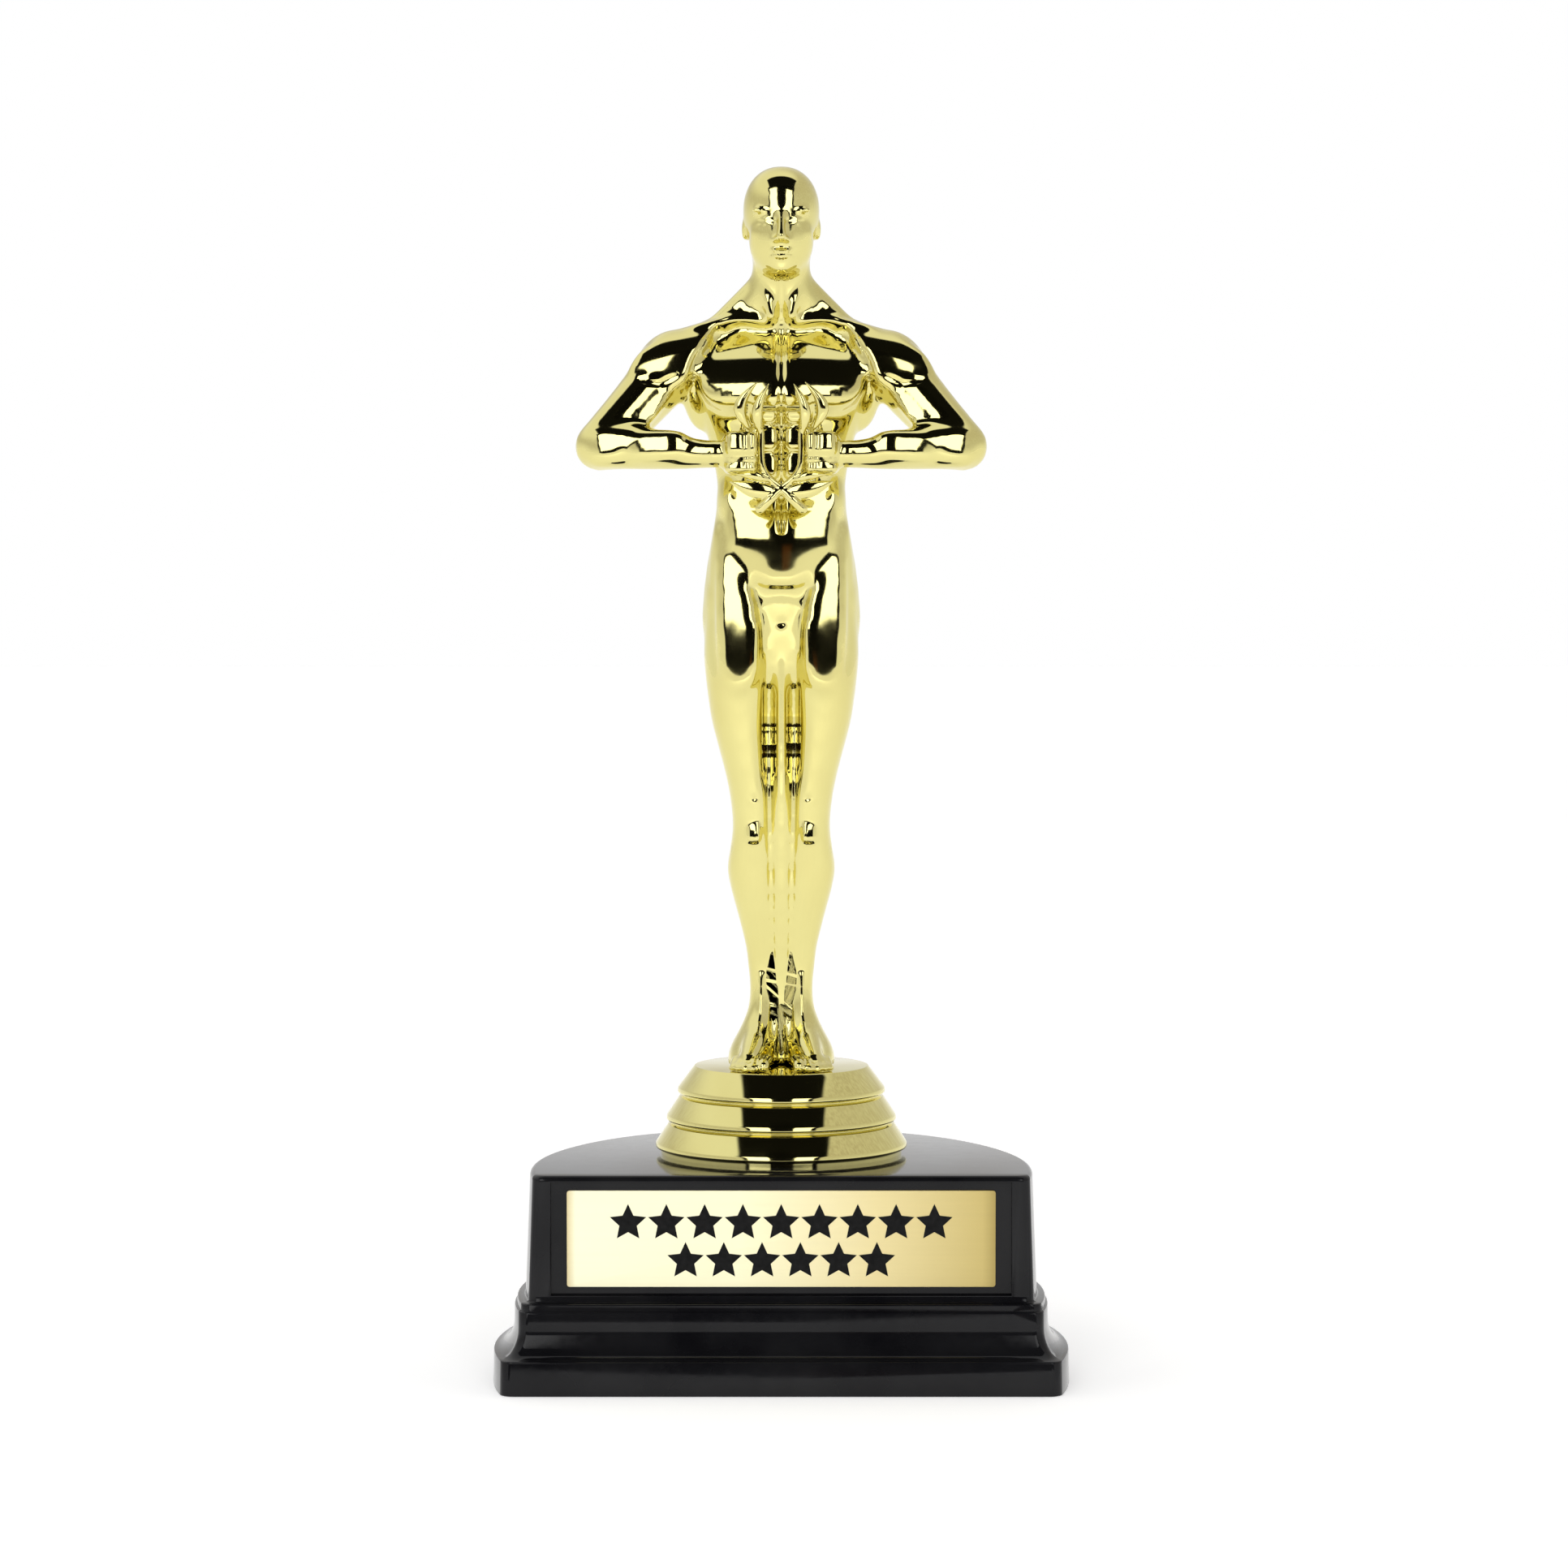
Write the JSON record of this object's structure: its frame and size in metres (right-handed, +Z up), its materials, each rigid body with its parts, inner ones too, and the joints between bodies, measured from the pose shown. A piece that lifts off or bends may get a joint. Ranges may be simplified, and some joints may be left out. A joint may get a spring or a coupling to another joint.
{
  "type": "statuette trophy",
  "caption": "Standing plated figure holding an open laurel wreath, on a round stepped riser bolted to a weighted D-shaped base with a name plate.",
  "frame": {"origin": "middle of the base's underside, where the base's centre line meets the surface it stands on", "axes": "+Z up through the figure, the figure and the name plate face -Y, +X to the figure's left"},
  "size_m": [0.084, 0.0638, 0.1778],
  "materials": {
    "plated_gold": "vacuum-plated pale gold over moulded plastic, mirror bright under clear lacquer",
    "black_plastic": "glossy black moulded plastic",
    "plate_gold": "gold sheet, satin, with a printed black emblem",
    "zinc_steel": "bright zinc plate",
    "cast_ballast": "rough as cast",
    "tape_foam": "white double-sided foam tape",
    "pad_felt": "black felt sheet"
  },
  "bodies": {
    "root": {"figure_front": "plated_gold", "figure_back": "plated_gold", "laurel_wreath": "plated_gold", "riser": "plated_gold", "hex_bolt": "zinc_steel", "base_shell": "black_plastic", "name_plate": "plate_gold", "plate_tape": "tape_foam", "base_weight": "cast_ballast", "flat_washer": "zinc_steel", "lock_washer": "zinc_steel", "hex_nut": "zinc_steel", "base_pad": "pad_felt"}
  },
  "joints": []
}
